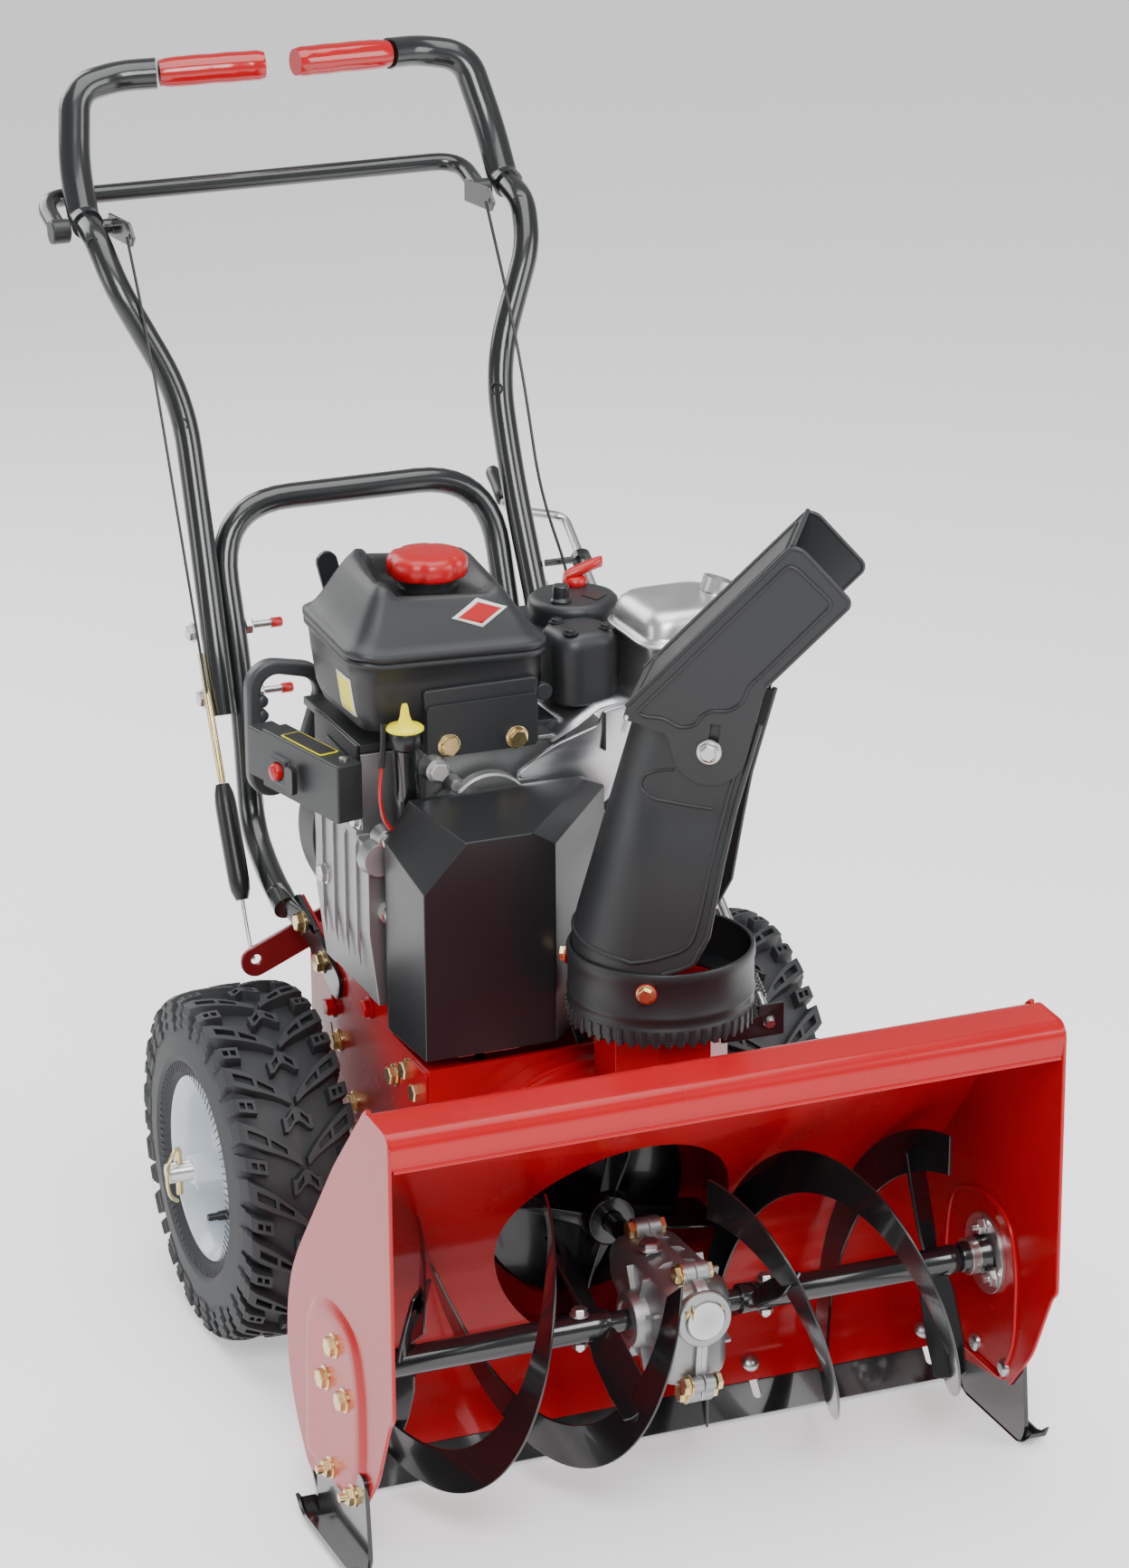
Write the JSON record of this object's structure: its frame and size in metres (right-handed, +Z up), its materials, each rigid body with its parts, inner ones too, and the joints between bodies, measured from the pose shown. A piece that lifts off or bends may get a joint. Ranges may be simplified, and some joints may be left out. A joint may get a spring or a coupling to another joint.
{
  "type": "snow blower",
  "caption": "Walk-behind two-stage snow blower with an auger housing, swivelling discharge chute, petrol engine, driven wheels and a tube handle.",
  "frame": {"origin": "on the ground under the middle of the machine", "axes": "+Z up, -Y towards the auger housing, +X to the right seen from the front (the side of the chute crank)"},
  "size_m": [0.659, 1.1373, 1.09],
  "materials": {
    "red_paint": "gloss",
    "black_paint": "gloss",
    "dark_red_paint": "satin",
    "zinc": "satin",
    "yellow_zinc": "gloss",
    "cast_aluminium": "satin",
    "rim_paint": "gloss",
    "tyre_rubber": "matte",
    "black_plastic": "satin",
    "grey_plastic": "satin",
    "belt_rubber": "matte",
    "boot_rubber": "gloss",
    "red_vinyl": "gloss",
    "red_plastic": "satin",
    "yellow_plastic": "satin",
    "muffler_steel": "satin"
  },
  "bodies": {
    "chassis": {"auger_housing": "red_paint", "side_plate_left": "red_paint", "side_plate_right": "red_paint", "impeller_drum": "red_paint", "chute_stand": "red_paint", "scraper_bar": "black_paint", "skid_shoe_left": "black_paint", "skid_shoe_right": "black_paint", "bearings": "zinc", "chassis_bolts": "yellow_zinc", "gearbox_left": "cast_aluminium", "gearbox_right": "cast_aluminium", "frame_box": "red_paint", "belt_cover": "black_plastic", "crankcase": "cast_aluminium", "cylinder_shield": "muffler_steel", "blower_shroud": "black_plastic", "recoil_housing": "grey_plastic", "fuel_tank": "black_plastic", "carb_cover": "black_plastic", "muffler": "muffler_steel", "starter_box": "black_plastic", "dipstick_tube": "black_plastic", "lower_handle": "black_paint", "upper_handle_left": "black_paint", "upper_handle_right": "black_paint", "handle_loops": "black_paint", "hand_grips": "red_vinyl", "handle_bolts": "yellow_zinc", "crank_brackets": "black_paint", "drive_belt": "belt_rubber"},
    "auger": {"auger_shaft": "zinc", "auger_flight_left": "black_paint", "auger_flight_right": "black_paint"},
    "impeller": {"impeller": "black_paint", "impeller_pulley": "zinc"},
    "engine_shaft": {"engine_pulley": "zinc"},
    "axle": {"drive_axle": "zinc", "rim_left": "rim_paint", "rim_right": "rim_paint", "tyre_left": "tyre_rubber", "tyre_right": "tyre_rubber", "axle_pins": "yellow_zinc"},
    "chute": {"chute_ring": "black_plastic", "chute": "black_plastic", "chute_bolts": "yellow_zinc"},
    "deflector": {"deflector": "black_plastic"},
    "chute_crank": {"chute_crank": "zinc"},
    "bail": {"bail": "black_paint", "clutch_arms": "black_paint"},
    "traction_cable": {"traction_cable": "zinc", "cable_boot": "boot_rubber"},
    "auger_cable": {"auger_cable": "boot_rubber"},
    "traction_lever": {"traction_lever": "dark_red_paint"},
    "recoil_grip": {"recoil_grip": "grey_plastic"},
    "fuel_cap": {"fuel_cap": "red_plastic"},
    "dipstick_cap": {"dipstick_cap": "yellow_plastic"},
    "throttle_lever": {"throttle_lever": "red_plastic"},
    "starter_button": {"starter_button": "red_plastic"},
    "speed_lever": {"speed_lever": "black_paint"}
  },
  "joints": [
    {"name": "auger_spin", "type": "hinge", "parent": "chassis", "child": "auger", "pos_m": [0, -0.4415, 0.16], "axis": [1, 0, 0], "continuous": true},
    {"name": "impeller_spin", "type": "hinge", "parent": "chassis", "child": "impeller", "pos_m": [0, -0.2635, 0.188], "axis": [0, 1, 0], "continuous": true},
    {"name": "engine_spin", "type": "hinge", "parent": "chassis", "child": "engine_shaft", "pos_m": [-0.06, -0.1285, 0.455], "axis": [0, 1, 0], "continuous": true},
    {"name": "axle_spin", "type": "hinge", "parent": "chassis", "child": "axle", "pos_m": [0, -0.0035, 0.165], "axis": [1, 0, 0], "continuous": true},
    {"name": "chute_turn", "type": "hinge", "parent": "chassis", "child": "chute", "pos_m": [0.055, -0.2875, 0.4], "axis": [0, 0, 1], "range_deg": [-158, 42]},
    {"name": "deflector_tilt", "type": "hinge", "parent": "chute", "child": "deflector", "pos_m": [0.03804, -0.2769, 0.667], "axis": [-0.5299, -0.848, 0], "range_deg": [-15, 0]},
    {"name": "crank_turn", "type": "hinge", "parent": "chassis", "child": "chute_crank", "pos_m": [0.1411, -0.3325, 0.3644], "axis": [0.114, 0.9224, 0.369], "range_deg": [-510, 1902]},
    {"name": "bail_hinge", "type": "hinge", "parent": "chassis", "child": "bail", "pos_m": [0, 0.4755, 0.941], "axis": [1, 0, 0], "range_deg": [-20, 0], "stiffness_Nm_per_rad": 4, "springref_deg": 20.05},
    {"name": "traction_cable_slide", "type": "slide", "parent": "chassis", "child": "traction_cable", "axis": [0, 0.4426, 0.8967], "range_m": [0, 0.019]},
    {"name": "auger_cable_slide", "type": "slide", "parent": "chassis", "child": "auger_cable", "axis": [0, 0.4426, 0.8967], "range_m": [0, 0.019]},
    {"name": "traction_lever_hinge", "type": "hinge", "parent": "chassis", "child": "traction_lever", "pos_m": [-0.1, 0.1215, 0.338], "axis": [0, 1, 0], "range_deg": [0, 12.5]},
    {"name": "recoil_pull", "type": "slide", "parent": "chassis", "child": "recoil_grip", "axis": [-1, 0, 0], "range_m": [0, 0.12], "stiffness_N_per_m": 20, "springref_m": -0.05},
    {"name": "fuel_cap_turn", "type": "hinge", "parent": "chassis", "child": "fuel_cap", "pos_m": [-0.065, -0.0375, 0.72], "axis": [0, 0, 1], "range_deg": [0, 90]},
    {"name": "dipstick_cap_turn", "type": "hinge", "parent": "chassis", "child": "dipstick_cap", "pos_m": [-0.124, -0.1325, 0.612], "axis": [0, 0, 1], "range_deg": [0, 90]},
    {"name": "throttle_swing", "type": "hinge", "parent": "chassis", "child": "throttle_lever", "pos_m": [0.1, 0.0165, 0.68], "axis": [0, 0, 1], "range_deg": [-35, 35]},
    {"name": "starter_press", "type": "slide", "parent": "chassis", "child": "starter_button", "axis": [0.9781, 0.2079, 0], "range_m": [0, 0.004], "stiffness_N_per_m": 400},
    {"name": "speed_shift", "type": "hinge", "parent": "chassis", "child": "speed_lever", "pos_m": [-0.02, 0.1015, 0.33], "axis": [0, 1, 0], "range_deg": [-8, 16]}
  ],
  "couplings": [
    {"joint": "impeller_spin", "follows": "auger_spin", "ratio": 10},
    {"joint": "crank_turn", "follows": "chute_turn", "ratio": -12},
    {"joint": "traction_cable_slide", "follows": "bail_hinge", "m_per_rad": -0.0542},
    {"joint": "auger_cable_slide", "follows": "bail_hinge", "m_per_rad": -0.0542},
    {"joint": "traction_lever_hinge", "follows": "bail_hinge", "ratio": -0.608}
  ]
}
